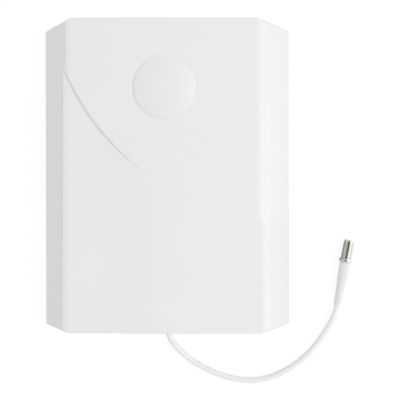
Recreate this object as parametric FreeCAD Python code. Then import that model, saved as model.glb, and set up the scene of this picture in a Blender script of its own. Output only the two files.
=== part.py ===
import FreeCAD, Part
import math
import os

# A flat television panel antenna lying on its back, in millimetres.
# X runs across the panel, Y runs up it and Z comes out of its front.
# The origin is at the middle of the back, on the surface that the rim rests on.

Vec = FreeCAD.Vector
UP = Vec(0, 0, 1)
ALONG = Vec(0, 1, 0)

# Housing
body_width = 211.0
body_length = 254.0
body_depth = 50.0
rim_height = 10.0
wall = 2.5
corner_radius = 1.0
front_corner_radius = 5.0
inner_corner_radius = 4.0
ledge_width = 2.0
ledge_height = 4.5

# Front face: the raised level, the lower level and the rolled side edges
raised_front_width = 160.6
lower_front_growth = 6.0
edge_roll_width = 6.4
edge_roll_drop = 1.6
step_height = 2.6
step_height_right = 0.12
step_run = 0.8
step_fade_left_x = -56.0
step_fade_right_x = -8.0
left_blend_top_y = 98.0
left_blend_length = 30.0
right_blend_top_y = -29.0
right_blend_length = 14.0
step_start_x = -92.0
step_end_y = -46.0
step_past_top = 1.0
step_past_side = 20.0
step_bends = [(-85.8, 99.2), (-79.8, 84.2), (-74.3, 72.3), (-59.0, 46.5), (-34.9, 18.4),
              (-9.1, -3.3), (30.9, -23.5), (77.5, -36.0)]

# Stiffening ribs under the front
rib_depth = 4.0
rib_column_pitch = 45.0
rib_row_pitch = 56.0

# Round badge on the front
badge_diameter = 50.0
badge_inset = 56.0
badge_recess = 0.8
badge_rim = 0.9
badge_flat_diameter = 16.0
badge_dome_radius = 70.0
badge_gap = 0.12

# Rear plate, its seal and its screws
plate_recess = 0.6
plate_thickness = 2.0
plate_gap = 0.4
gasket_thickness = 1.0
gasket_width = 3.5
gasket_inner_radius = 2.0
boss_inset = 10.0
end_boss_x = 36.0
boss_radius = 3.5
boss_top = 20.0
boss_rib = 1.8
insert_radius = 2.3
insert_length = 6.0
pilot_depth = 2.0
fit_gap = 0.05

# Metric screws: core radius, what their bores and holes add to it, heads
screw_radius = 1.4
screw_bore_gap = 0.1
screw_hole_gap = 0.2
sunk_head_radius = 2.7
sunk_gap = 0.1
pan_head_radius = 2.8
pan_head_height = 1.8
cover_screw_length = 8.0

# Bracket fixing: self-clinching nuts in the rear plate
bracket_spacing = 75.0
bracket_thread_radius = 2.0
clinch_shank_radius = 2.95
clinch_head_radius = 4.1
clinch_head_height = 3.0

# Double loop that picks up the signal
loop_headroom = 5.9
loop_thickness = 1.2
loop_side_clear = 7.2
loop_end_clear = 13.0
loop_half_gap = 2.0
loop_strip = 12.0
waist_half_x = 22.0
waist_half_y = 13.0
feed_slot_width = 8.0
feed_post_x = 12.0
loop_support_angle = 40.0
standoff_across_flats = 7.0
standoff_screw_length = 9.0
loop_screw_length = 8.0

# Circuit board at the feed point
board_below_loop = 13.0
board_thickness = 1.6
board_half_x = 22.0
board_low_y = -30.0
board_high_y = 12.0
board_support_x = 16.5
board_support_y = -24.0
board_corner = 2.0
feed_post_radius = 3.0
feed_screw_radius = 1.2
feed_screw_length = 5.0
core_tube_radius = 3.5
core_bore_radius = 1.6
core_bore_x = 3.0
core_low_y = -3.0
core_length = 10.0
winding_wire_radius = 0.25
winding_pitch = 0.7
winding_turns = 2
winding_overhang = 1.2

# Coax cable
cable_radius = 2.5
cable_gap = 0.1
cable_exit_z = 10.0
cable_start_y = -126.0
floor_gap = 0.05
route_setback = 0.45
cable_rise_y = 20.0
jacket_wall = 0.4
braid_wall = 0.5
conductor_radius = 0.5
braid_bare = 4.5
dielectric_bare = 4.0
conductor_bare = 3.7
cable_joint_gap = 0.1
tag_width = 2.6
tag_length = 3.0
tag_past_wire = 0.6
tag_over_wire = 1.3
tag_to_core = 2.2
clip_thickness = 0.4
clip_width = 3.0
clip_foot = 2.2

# Cable clamp on the rear plate
clamp_inset = 23.0
clamp_width = 9.0
clamp_to_bend = 24.0
clamp_half_x = 12.0
clamp_screw_x = 8.0
clamp_cap_height = 4.6
clamp_cap_round = 2.0
clamp_split = 0.4
clamp_screw_length = 12.0

# Grommet in the bottom wall
grommet_wall = 1.65
grommet_outer_rim = 1.25
grommet_inner_rim = 0.85
grommet_seat_gap = 0.3
grommet_flange = 1.5
grommet_nose = 5.0
grommet_nose_inset = 0.8
grommet_nose_wall = 1.2
grommet_flare = 0.5

# Screw jack and boot at the far end of the cable
jack_point = Vec(155.4, -73.7, 0)
jack_angle = 11.0
collar_radius = 5.6
collar_length = 2.4
thread_radius = 4.76
thread_length = 14.9
lead_inset = 0.56
lead_length = 1.7
lead_wall = 0.7
jack_chamfer = 0.3
jack_back_wall = 3.0
insulator_recess = 1.2
insulator_lip = 1.0
contact_radius = 1.1
contact_bore_radius = 0.6
contact_web = 4.0
boot_length = 38.0
boot_tail_wall = 0.5
boot_swell_wall = 1.1
boot_swell_share = 0.61
boot_shoulder_wall = 0.6
boot_shoulder_share = 0.36
boot_front_wall = 0.9
ferrule_radius = 3.7
ferrule_length = 15.0
last_run = 9.0

# Overshoot of cutting shapes, and the tolerance for telling two places apart
through = 1.0
cut_reach = 30.0
same = 1e-4

# Places that follow from the sizes above
half_width = body_width / 2
half_length = body_length / 2
lower_front_width = raised_front_width + lower_front_growth
badge_y = half_length - badge_inset
step_curve = ([(step_start_x, half_length + step_past_top)] + step_bends
              + [(half_width + step_past_side, step_end_y)])
plate_top = plate_recess + plate_thickness
ledge_z = plate_top + gasket_thickness
recess_half_x = half_width - wall
recess_half_y = half_length - wall
core_half_x = recess_half_x - ledge_width
cable_z = cable_radius + floor_gap
jack_z = collar_radius + floor_gap
rib_bottom = body_depth - step_height - wall - rib_depth
side_boss_x = half_width - boss_inset
end_boss_y = half_length - boss_inset
screw_bore_radius = screw_radius + screw_bore_gap
screw_hole_radius = screw_radius + screw_hole_gap
loop_z = rib_bottom - loop_headroom
loop_top = loop_z + loop_thickness
loop_outer_y = (half_length - loop_end_clear - loop_half_gap) / 2
loop_centre_y = loop_half_gap + loop_outer_y
board_z = loop_z - board_below_loop
board_top = board_z + board_thickness
coax_on_board_z = board_top + cable_radius + fit_gap
tag_high_y = core_low_y - tag_to_core
tag_low_y = tag_high_y - tag_length
conductor_end_y = tag_high_y - tag_past_wire
dielectric_end_y = conductor_end_y - conductor_bare
braid_end_y = dielectric_end_y - dielectric_bare
jacket_end_y = braid_end_y - braid_bare
braid_radius = cable_radius - jacket_wall
dielectric_radius = braid_radius - braid_wall
clamp_y = clamp_inset - half_length
grommet_neck_radius = cable_radius + grommet_wall
grommet_flange_radius = grommet_neck_radius + grommet_outer_rim
grommet_inner_radius = grommet_neck_radius + grommet_inner_rim
grommet_nose_radius = cable_radius + grommet_nose_wall
lead_radius = thread_radius - lead_inset
jack_bore_radius = lead_radius - lead_wall
jack_axis = Vec(math.sin(math.radians(jack_angle)), math.cos(math.radians(jack_angle)), 0)
jack_origin = Vec(jack_point.x, jack_point.y, jack_z)
boot_tail = jack_origin - jack_axis * boot_length

# Centre line of the free cable, from inside the grommet to the tail of the boot
cord_route = [Vec(0, cable_start_y, cable_exit_z),
              Vec(0.3, -134.0, cable_exit_z),
              Vec(3.4, -142.4, 8.9),
              Vec(10.9, -151.3, 6.6),
              Vec(21.2, -160.9, 4.0),
              Vec(37.7, -170.4, 2.7),
              Vec(56.5, -177.2, cable_z),
              Vec(76.0, -179.1, cable_z),
              Vec(94.7, -174.7, cable_z),
              Vec(111.7, -165.3, cable_z),
              Vec(126.0, -152.8, cable_z),
              Vec(135.0, -141.0, 2.7),
              Vec(141.2, -130.4, 4.0),
              boot_tail - jack_axis * last_run,
              boot_tail]

# Centre line of the cable inside the housing, from the grommet to the board
inner_route = [Vec(0, cable_start_y + cable_joint_gap, cable_exit_z),
               Vec(0, clamp_y + clamp_to_bend, cable_exit_z),
               Vec(0, board_low_y - cable_rise_y, coax_on_board_z),
               Vec(0, jacket_end_y, coax_on_board_z)]


def box(x0, x1, y0, y1, z0, z1):
    return Part.makeBox(x1 - x0, y1 - y0, z1 - z0, Vec(x0, y0, z0))


def cylinder(radius, height, base, axis=UP):
    return Part.makeCylinder(radius, height, base, axis)


def join(shapes):
    return shapes[0].multiFuse(shapes[1:]).removeSplitter()


def rounded_slab(half_x, half_y, radius, z0, z1):
    slab = box(-half_x, half_x, -half_y, half_y, z0, z1)
    upright = [edge for edge in slab.Edges if abs(edge.Vertexes[0].X - edge.Vertexes[1].X) < same
               and abs(edge.Vertexes[0].Y - edge.Vertexes[1].Y) < same]
    return slab.makeFillet(radius, upright)


def turned(profile, base, axis):
    """Solid of revolution: profile is a closed list of (distance along the axis, radius)."""
    points = [Vec(radius, 0, along) for along, radius in profile]
    face = Part.Face(Part.makePolygon(points + points[:1]))
    solid = face.revolve(Vec(0, 0, 0), UP, 360)
    solid.Placement = FreeCAD.Placement(base, FreeCAD.Rotation(UP, axis))
    return solid


def hex_post(across_flats, z0, z1, place, bore):
    reach = across_flats / math.sqrt(3)
    corners = [Vec(place[0] + reach * math.cos(math.radians(60 * k)),
                   place[1] + reach * math.sin(math.radians(60 * k)), z0) for k in range(7)]
    post = Part.Face(Part.makePolygon(corners)).extrude(Vec(0, 0, z1 - z0))
    return post.cut(cylinder(bore, z1 - z0, Vec(place[0], place[1], z0)))


def sunk_screw(place, length):
    """Countersunk screw driven in from the back, flush with the rear plate."""
    face_z = plate_recess + fit_gap
    head = Part.makeCone(sunk_head_radius, screw_radius, sunk_head_radius - screw_radius,
                         Vec(place[0], place[1], face_z), UP)
    shank = cylinder(screw_radius, length, Vec(place[0], place[1], face_z))
    return head.fuse(shank).removeSplitter()


def sunk_hole(place):
    mouth = sunk_head_radius + fit_gap + sunk_gap
    sink = Part.makeCone(mouth, screw_hole_radius, mouth - screw_hole_radius,
                         Vec(place[0], place[1], plate_recess), UP)
    return sink.fuse(cylinder(screw_hole_radius, plate_thickness, Vec(place[0], place[1], plate_recess)))


def pan_screw(place, seat_z, radius, length, down=True):
    """Pan-head screw seated on seat_z, with its shank going down or up from there."""
    sign = -1 if down else 1
    base = Vec(place[0], place[1], seat_z)
    head = cylinder(pan_head_radius, pan_head_height, base, Vec(0, 0, -sign))
    return head.fuse(cylinder(radius, length, base, Vec(0, 0, sign)))


def corner_places(x, y):
    return [(sx * x, sy * y) for sx in (-1, 1) for sy in (-1, 1)]


boss_places = corner_places(side_boss_x, end_boss_y) + corner_places(end_boss_x, end_boss_y)
boss_places += [(-side_boss_x, 0.0), (side_boss_x, 0.0)]
bracket_places = corner_places(bracket_spacing / 2, bracket_spacing / 2)
board_support_places = [(-board_support_x, board_support_y), (board_support_x, board_support_y)]
feed_places = [(-feed_post_x, 0.0), (feed_post_x, 0.0)]
clamp_places = [(-clamp_screw_x, clamp_y), (clamp_screw_x, clamp_y)]


def facet_slope(front_half, edge_z):
    """Sideways travel per millimetre of height on the slanted side facet."""
    return (half_width - front_half) / (edge_z - rim_height)


def upper_edge_half(level_drop):
    """Half width at the raised level's edge height, on a facet that meets the lower level's edge."""
    slope = facet_slope(lower_front_width / 2, body_depth - level_drop - edge_roll_drop)
    return lower_front_width / 2 - slope * level_drop


def inner_half(z):
    """Inside half width of the radome at a height, where the front is narrowest."""
    slope = facet_slope(raised_half, body_depth - edge_roll_drop)
    return half_width - wall * math.sqrt(1 + slope ** 2) - slope * (z - rim_height)


raised_half = raised_front_width / 2
left_lower_half = upper_edge_half(step_height)
right_lower_half = upper_edge_half(step_height_right)
loop_outer_x = inner_half(loop_top) - loop_side_clear
support_turn = math.radians(loop_support_angle)
loop_support_places = corner_places((loop_outer_x - loop_strip / 2) * math.cos(support_turn),
                                    loop_centre_y + (loop_outer_y - loop_strip / 2) * math.sin(support_turn))
stations = [(half_length, raised_half, raised_half),
            (left_blend_top_y, raised_half, raised_half),
            (left_blend_top_y - left_blend_length, left_lower_half, raised_half),
            (right_blend_top_y, left_lower_half, raised_half),
            (right_blend_top_y - right_blend_length, left_lower_half, right_lower_half),
            (-half_length, left_lower_half, right_lower_half)]


def roll_arc(outer_x, outer_z, inner_x, inner_z, y):
    """Arc of the rolled edge, level at its inner end, from the crisp outer edge inwards."""
    width = abs(outer_x - inner_x)
    drop = inner_z - outer_z
    radius = (width ** 2 + drop ** 2) / (2 * drop)
    half_turn = math.asin(width / radius) / 2
    side = 1 if outer_x > inner_x else -1
    middle = Vec(inner_x + side * radius * math.sin(half_turn), y,
                 inner_z - radius * (1 - math.cos(half_turn)))
    return Part.Arc(Vec(outer_x, y, outer_z), middle, Vec(inner_x, y, inner_z)).toShape()


def line(a, b):
    return Part.LineSegment(a, b).toShape()


def outer_section(y, left_half, right_half):
    edge_z = body_depth - edge_roll_drop
    left_top = -left_half + edge_roll_width
    right_top = right_half - edge_roll_width
    edges = [line(Vec(-half_width, y, 0), Vec(half_width, y, 0)),
             line(Vec(half_width, y, 0), Vec(half_width, y, rim_height)),
             line(Vec(half_width, y, rim_height), Vec(right_half, y, edge_z)),
             roll_arc(right_half, edge_z, right_top, body_depth, y),
             line(Vec(right_top, y, body_depth), Vec(left_top, y, body_depth)),
             roll_arc(-left_half, edge_z, left_top, body_depth, y),
             line(Vec(-left_half, y, edge_z), Vec(-half_width, y, rim_height)),
             line(Vec(-half_width, y, rim_height), Vec(-half_width, y, 0))]
    return Part.Wire(Part.__sortEdges__(edges))


def core_section(y, left_half, right_half):
    """Inside of the radome, one wall in from the outer section, above the ledge."""
    top_z = body_depth - wall
    edge_z = body_depth - edge_roll_drop
    corners = []
    for side, half in ((-1, left_half), (1, right_half)):
        slope = facet_slope(half, edge_z)
        inset = wall * math.sqrt(1 + slope ** 2)
        knee_z = rim_height + (half_width - inset - core_half_x) / slope
        top_x = half_width - inset - slope * (top_z - rim_height)
        corners.append([Vec(side * core_half_x, y, ledge_z), Vec(side * core_half_x, y, knee_z),
                        Vec(side * top_x, y, top_z)])
    left, right = corners
    return Part.makePolygon(left + right[::-1] + left[:1])


def form(section, end_y):
    """Solid through the cross-sections at the stations, ending at plus and minus end_y."""
    parts = []
    ends = [(max(-end_y, min(end_y, y)), left, right) for y, left, right in stations]
    for upper, lower in zip(ends[:-1], ends[1:]):
        if upper[1:] == lower[1:]:
            parts.append(Part.Face(section(*upper)).extrude(Vec(0, lower[0] - upper[0], 0)))
        else:
            parts.append(Part.makeLoft([section(*upper), section(*lower)], True, True))
    return join(parts)


def end_corner_edges(solid, end_y, low_z):
    """The upright and slanted edges at the four corners of a form."""
    found = []
    for edge in solid.Edges:
        a, b = edge.Vertexes[0].Point, edge.Vertexes[-1].Point
        at_end = abs(abs(a.y) - end_y) < same and abs(a.y - b.y) < same
        on_one_side = a.x * b.x > 0
        rising = abs(a.z - b.z) > edge_roll_drop + same
        if at_end and on_one_side and rising and min(a.z, b.z) > low_z - same:
            found.append(edge)
    return found


def lower_level(depth):
    """Everything below the lower level of the front, taken down by depth."""
    far = half_width + cut_reach
    side = lower_front_width / 2
    left_z = body_depth - step_height - depth
    right_z = body_depth - step_height_right - depth
    third = (step_fade_right_x - step_fade_left_x) / 3
    rise = Part.BezierCurve()
    rise.setPoles([Vec(step_fade_left_x, 0, left_z), Vec(step_fade_left_x + third, 0, left_z),
                   Vec(step_fade_right_x - third, 0, right_z), Vec(step_fade_right_x, 0, right_z)])
    left_edge_z = left_z - edge_roll_drop
    right_edge_z = right_z - edge_roll_drop
    edges = [line(Vec(-far, 0, left_edge_z), Vec(-side, 0, left_edge_z)),
             roll_arc(-side, left_edge_z, -side + edge_roll_width, left_z, 0),
             line(Vec(-side + edge_roll_width, 0, left_z), Vec(step_fade_left_x, 0, left_z)),
             rise.toShape(),
             line(Vec(step_fade_right_x, 0, right_z), Vec(side - edge_roll_width, 0, right_z)),
             roll_arc(side, right_edge_z, side - edge_roll_width, right_z, 0),
             line(Vec(side, 0, right_edge_z), Vec(far, 0, right_edge_z)),
             line(Vec(far, 0, right_edge_z), Vec(far, 0, 0)),
             line(Vec(far, 0, 0), Vec(-far, 0, 0)),
             line(Vec(-far, 0, 0), Vec(-far, 0, left_edge_z))]
    face = Part.Face(Part.Wire(Part.__sortEdges__(edges)))
    face.translate(Vec(0, -half_length - cut_reach, 0))
    return face.extrude(Vec(0, body_length + 2 * cut_reach, 0))


def step_prism(shift):
    """Slanted prism over the lower-left part of the front, bounded by the swoosh curve."""
    far_x = half_width + cut_reach
    far_y = half_length + cut_reach
    points = [Vec(x + shift, y + shift, 0) for x, y in step_curve]
    curve = Part.BSplineCurve()
    curve.interpolate(points)
    first, last = points[0], points[-1]
    outline = [curve.toShape(),
               line(last, Vec(far_x, last.y, 0)),
               line(Vec(far_x, last.y, 0), Vec(far_x, -far_y, 0)),
               line(Vec(far_x, -far_y, 0), Vec(-far_x, -far_y, 0)),
               line(Vec(-far_x, -far_y, 0), Vec(-far_x, first.y, 0)),
               line(Vec(-far_x, first.y, 0), first)]
    face = Part.Face(Part.Wire(Part.__sortEdges__(outline)))
    slant = step_run / step_height
    middle_z = body_depth - step_height / 2
    low_z = body_depth - step_height - edge_roll_drop - 2 * wall
    high_z = body_depth + wall
    face.translate(Vec(slant * (low_z - middle_z), slant * (low_z - middle_z), low_z))
    rise = high_z - low_z
    return face.extrude(Vec(slant * rise, slant * rise, rise))


def rounded_corners(solid):
    """Rounds the corner edges, by a radius that grows up the slanted edges to the front."""
    corners = end_corner_edges(solid, half_length, 0)
    work = FreeCAD.newDocument("corners")
    base = work.addObject("Part::Feature", "base")
    base.Shape = solid
    fillet = work.addObject("Part::Fillet", "fillet")
    fillet.Base = base
    radii = []
    for number, edge in enumerate(solid.Edges, 1):
        if any(edge.isSame(corner) for corner in corners):
            first, last = [front_corner_radius if edge.valueAt(at).z > rim_height + same else corner_radius
                           for at in (edge.FirstParameter, edge.LastParameter)]
            radii.append((number, first, last))
    fillet.Edges = radii
    work.recompute()
    rounded = fillet.Shape.copy()
    FreeCAD.closeDocument(work.Name)
    return rounded


def radome_shell():
    outer = form(outer_section, half_length)
    outer = rounded_corners(outer)
    outer = outer.cut(step_prism(0).cut(lower_level(0)))

    core_end = half_length - wall
    core = form(core_section, core_end)
    core = core.makeFillet(inner_corner_radius, end_corner_edges(core, core_end, ledge_z))
    core = core.cut(step_prism(wall / math.sqrt(2)).cut(lower_level(wall)))

    # What the moulding keeps inside: screw bosses, their ribs, the end ledges and stiffening ribs
    kept = []
    rib = boss_rib / 2
    for x, y in boss_places:
        kept.append(cylinder(boss_radius, boss_top - plate_top, Vec(x, y, plate_top)))
        if abs(x) > end_boss_x:
            low, high = sorted((x, math.copysign(half_width, x)))
            kept.append(box(low, high, y - rib, y + rib, ledge_z, boss_top))
        if abs(y) > 0:
            low, high = sorted((y, math.copysign(half_length, y)))
            kept.append(box(x - rib, x + rib, low, high, ledge_z, boss_top))
    for side in (-1, 1):
        low, high = sorted((side * (recess_half_y - ledge_width), side * half_length))
        kept.append(box(-half_width, half_width, low, high, ledge_z, ledge_z + ledge_height))
    for column in (-1, 0, 1):
        x = column * rib_column_pitch
        kept.append(box(x - rib, x + rib, -half_length, half_length, rib_bottom, body_depth))
    for row in (-1.5, -0.5, 0.5, 1.5):
        y = row * rib_row_pitch
        kept.append(box(-half_width, half_width, y - rib, y + rib, rib_bottom, body_depth))
    kept = join(kept)

    pocket = rounded_slab(recess_half_x, recess_half_y, inner_corner_radius, -through, ledge_z)
    shell = outer.cut(core.cut(kept)).cut(pocket.cut(kept))

    for x, y in boss_places:
        seat = cylinder(insert_radius + fit_gap, insert_length + fit_gap, Vec(x, y, plate_top))
        pilot = cylinder(screw_hole_radius, insert_length + pilot_depth, Vec(x, y, plate_top))
        shell = shell.cut(seat.fuse(pilot))

    outlet = Vec(0, -half_length - through, cable_exit_z)
    outlet_depth = wall + ledge_width + 2 * through
    shell = shell.cut(cylinder(grommet_neck_radius + fit_gap, outlet_depth, outlet, ALONG))
    flange_seat = Vec(0, -half_length + wall, cable_exit_z)
    shell = shell.cut(cylinder(grommet_inner_radius + grommet_seat_gap, ledge_width + through,
                               flange_seat, ALONG))
    badge_seat = cylinder(badge_diameter / 2 + badge_gap, badge_recess + through,
                          Vec(0, badge_y, body_depth - badge_recess))
    return shell.cut(badge_seat)


def badge_disc():
    """Blank domed disc that sits in the round recess."""
    radius = badge_diameter / 2
    flat = badge_flat_diameter / 2
    sag = badge_dome_radius - math.sqrt(badge_dome_radius ** 2 - (radius - flat) ** 2)
    base_z = body_depth - badge_recess
    rim_z = body_depth + badge_rim
    half_turn = math.asin((radius - flat) / badge_dome_radius) / 2
    middle = Vec(flat + badge_dome_radius * math.sin(half_turn), 0,
                 rim_z + sag - badge_dome_radius * (1 - math.cos(half_turn)))
    edges = [line(Vec(0, 0, base_z), Vec(radius, 0, base_z)),
             line(Vec(radius, 0, base_z), Vec(radius, 0, rim_z)),
             Part.Arc(Vec(radius, 0, rim_z), middle, Vec(flat, 0, rim_z + sag)).toShape(),
             line(Vec(flat, 0, rim_z + sag), Vec(0, 0, rim_z + sag)),
             line(Vec(0, 0, rim_z + sag), Vec(0, 0, base_z))]
    disc = Part.Face(Part.Wire(edges)).revolve(Vec(0, 0, 0), UP, 360)
    disc.translate(Vec(0, badge_y, 0))
    return disc


def rim_gasket():
    outer_x = recess_half_x - plate_gap
    outer_y = recess_half_y - plate_gap
    radius = inner_corner_radius - plate_gap
    outer = rounded_slab(outer_x, outer_y, radius, plate_top, ledge_z)
    inner = rounded_slab(outer_x - gasket_width, outer_y - gasket_width, gasket_inner_radius,
                         plate_top, ledge_z)
    return outer.cut(inner)


def rear_plate():
    plate = rounded_slab(recess_half_x - plate_gap, recess_half_y - plate_gap,
                         inner_corner_radius - plate_gap, plate_recess, plate_top)
    holes = [sunk_hole(place) for place in
             boss_places + loop_support_places + board_support_places + clamp_places]
    holes += [cylinder(clinch_shank_radius + fit_gap, plate_thickness, Vec(x, y, plate_recess))
              for x, y in bracket_places]
    return plate.cut(Part.makeCompound(holes))


def clinch_nuts():
    nuts = []
    for x, y in bracket_places:
        shank = cylinder(clinch_shank_radius, plate_thickness, Vec(x, y, plate_recess))
        head = cylinder(clinch_head_radius, clinch_head_height, Vec(x, y, plate_top))
        bore = cylinder(bracket_thread_radius, plate_thickness + clinch_head_height, Vec(x, y, plate_recess))
        nuts.append(shank.fuse(head).cut(bore))
    return nuts


def threaded_inserts():
    return [cylinder(insert_radius, insert_length, Vec(x, y, plate_top)).cut(
        cylinder(screw_bore_radius, insert_length, Vec(x, y, plate_top))) for x, y in boss_places]


def loop_element():
    """Two ellipses joined at the waist, with a slot between the two feed terminals."""
    solids = [box(-waist_half_x, waist_half_x, -waist_half_y, waist_half_y, loop_z, loop_top)]
    holes = [box(-feed_slot_width / 2, feed_slot_width / 2, -waist_half_y - loop_strip / 2,
                 waist_half_y + loop_strip / 2, loop_z, loop_top)]
    for side in (-1, 1):
        centre = Vec(0, side * loop_centre_y, loop_z)
        for inset, group in ((0, solids), (loop_strip, holes)):
            ellipse = Part.Ellipse(centre, loop_outer_x - inset, loop_outer_y - inset).toShape()
            group.append(Part.Face(Part.Wire(ellipse)).extrude(Vec(0, 0, loop_thickness)))
    holes += [cylinder(screw_hole_radius, loop_thickness, Vec(x, y, loop_z))
              for x, y in loop_support_places + feed_places]
    return join(solids).cut(join(holes))


def standoffs(places, across_flats, top_z):
    return [hex_post(across_flats, plate_top, top_z, place, screw_bore_radius) for place in places]


def balun_board():
    middle_y = (board_low_y + board_high_y) / 2
    board = rounded_slab(board_half_x, (board_high_y - board_low_y) / 2, board_corner, board_z, board_top)
    board.translate(Vec(0, middle_y, 0))
    holes = [cylinder(screw_hole_radius, board_thickness, Vec(x, y, board_z))
             for x, y in feed_places + board_support_places]
    return board.cut(Part.makeCompound(holes))


def feed_posts():
    height = loop_z - board_top
    bore = feed_screw_radius + screw_bore_gap
    return [cylinder(feed_post_radius, height, Vec(x, y, board_top)).cut(
        cylinder(bore, height, Vec(x, y, board_top))) for x, y in feed_places]


def feed_screws():
    screws = [pan_screw(place, loop_top, feed_screw_radius, feed_screw_length) for place in feed_places]
    screws += [pan_screw(place, board_z, feed_screw_radius, feed_screw_length, down=False)
               for place in feed_places]
    return screws


def balun_core():
    """Two ferrite tubes side by side in one block."""
    middle_z = board_top + core_tube_radius
    solids = [box(-core_bore_x, core_bore_x, core_low_y, core_low_y + core_length,
                  board_top, board_top + 2 * core_tube_radius)]
    bores = []
    for side in (-1, 1):
        base = Vec(side * core_bore_x, core_low_y, middle_z)
        solids.append(cylinder(core_tube_radius, core_length, base, ALONG))
        bores.append(cylinder(core_bore_radius, core_length, base, ALONG))
    return join(solids).cut(Part.makeCompound(bores))


def balun_winding():
    """Hairpins of enamelled wire through the two bores of the core."""
    start_y = core_low_y - winding_overhang
    bend_y = core_low_y + core_length + winding_overhang
    wires = []
    for turn in range(winding_turns):
        z = board_top + core_tube_radius + (turn - (winding_turns - 1) / 2) * winding_pitch
        path = Part.Wire([line(Vec(-core_bore_x, start_y, z), Vec(-core_bore_x, bend_y, z)),
                          Part.Arc(Vec(-core_bore_x, bend_y, z), Vec(0, bend_y + core_bore_x, z),
                                   Vec(core_bore_x, bend_y, z)).toShape(),
                          line(Vec(core_bore_x, bend_y, z), Vec(core_bore_x, start_y, z))])
        ring = Part.Circle(Vec(-core_bore_x, start_y, z), ALONG, winding_wire_radius).toShape()
        wires.append(path.makePipe(Part.Face(Part.Wire(ring))))
    return wires


def signal_tag():
    """Small terminal on the board that takes the centre conductor."""
    top = coax_on_board_z + tag_over_wire
    tag = box(-tag_width / 2, tag_width / 2, tag_low_y, tag_high_y, board_top, top)
    hole = cylinder(conductor_radius + fit_gap, tag_length, Vec(0, tag_low_y, coax_on_board_z), ALONG)
    return tag.cut(hole)


def braid_clip():
    """Tinned strap over the braid, with a foot soldered on each side."""
    middle_y = (jacket_end_y + braid_end_y) / 2
    base = Vec(0, middle_y - clip_width / 2, coax_on_board_z)
    inner = braid_radius + fit_gap
    outer = inner + clip_thickness
    low = middle_y - clip_width / 2
    high = middle_y + clip_width / 2
    arch = cylinder(outer, clip_width, base, ALONG)
    legs = box(-outer, outer, low, high, board_top, coax_on_board_z)
    feet = box(-outer - clip_foot, outer + clip_foot, low, high, board_top, board_top + clip_thickness)
    space = cylinder(inner, clip_width, base, ALONG).fuse(
        box(-inner, inner, low, high, board_top, coax_on_board_z))
    return join([arch, legs, feet]).cut(space)


def coax_end(start_y, end_y, radius):
    return cylinder(radius, end_y - start_y, Vec(0, start_y, coax_on_board_z), ALONG)


def clamp_half(low_z, high_z, hole_radius, rounded):
    low_y = clamp_y - clamp_width / 2
    block = box(-clamp_half_x, clamp_half_x, low_y, low_y + clamp_width, low_z, high_z)
    if rounded:
        ends = [edge for edge in block.Edges if abs(edge.BoundBox.ZMin - high_z) < same
                and edge.BoundBox.XLength < same]
        block = block.makeFillet(clamp_cap_round, ends)
    trough = cylinder(cable_radius + cable_gap, clamp_width, Vec(0, low_y, cable_exit_z), ALONG)
    holes = [cylinder(hole_radius, high_z - low_z, Vec(x, y, low_z)) for x, y in clamp_places]
    return block.cut(Part.makeCompound([trough] + holes))


def cable_grommet():
    """Rubber grommet with a groove for the wall and a tapered nose outside."""
    bore = cable_radius + cable_gap
    outer_face = -half_length - fit_gap
    inner_face = -half_length + wall + fit_gap
    nose_end = outer_face - grommet_flange - grommet_nose
    profile = [(inner_face + grommet_flange, bore),
               (inner_face + grommet_flange, grommet_inner_radius),
               (inner_face, grommet_inner_radius),
               (inner_face, grommet_neck_radius),
               (outer_face, grommet_neck_radius),
               (outer_face, grommet_flange_radius),
               (outer_face - grommet_flange, grommet_flange_radius),
               (outer_face - grommet_flange, grommet_flange_radius - grommet_nose_inset),
               (nose_end, grommet_nose_radius),
               (nose_end, bore + grommet_flare),
               (outer_face, bore)]
    return turned(profile, Vec(0, 0, cable_exit_z), ALONG)


def rounded_route(points):
    """Wire of straight runs joined by tangent arcs, each as large as its two runs allow."""
    edges = []
    radii = []
    start = points[0]
    for before, corner, after in zip(points, points[1:], points[2:]):
        into = corner - before
        out = after - corner
        setback = route_setback * min(into.Length, out.Length)
        into.normalize()
        out.normalize()
        turn = into.getAngle(out)
        radius = setback / math.tan(turn / 2)
        inward = out - into
        inward.normalize()
        arc_start = corner - into * setback
        arc_end = corner + out * setback
        middle = corner + inward * (radius / math.cos(turn / 2) - radius)
        edges.append(line(start, arc_start))
        edges.append(Part.Arc(arc_start, middle, arc_end).toShape())
        radii.append(radius)
        start = arc_end
    edges.append(line(start, points[-1]))
    return Part.Wire(edges), radii


def cable_along(points, name):
    path, radii = rounded_route(points)
    heading = points[1] - points[0]
    ring = Part.Circle(points[0], heading, cable_radius).toShape()
    tube = path.makePipe(Part.Face(Part.Wire(ring)))
    expected = math.pi * cable_radius ** 2 * path.Length
    print(name, "length", round(path.Length, 1), "volume ratio", round(tube.Volume / expected, 4),
          "radii", [round(radius, 1) for radius in radii])
    return tube


def on_jack_axis(profile):
    return turned(profile, jack_origin, jack_axis)


def connector_boot():
    """Tapered boot, with a wide bore over the ferrule and a close one over the cable."""
    bore = cable_radius + cable_gap
    wide = ferrule_radius + cable_gap
    shoulder = -ferrule_length - fit_gap
    profile = [(-boot_length, bore),
               (-boot_length, cable_radius + boot_tail_wall),
               (-boot_length * boot_swell_share, cable_radius + boot_swell_wall),
               (-boot_length * boot_shoulder_share, ferrule_radius + boot_shoulder_wall),
               (0, ferrule_radius + boot_front_wall),
               (0, wide),
               (shoulder, wide),
               (shoulder, bore)]
    return on_jack_axis(profile)


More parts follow.
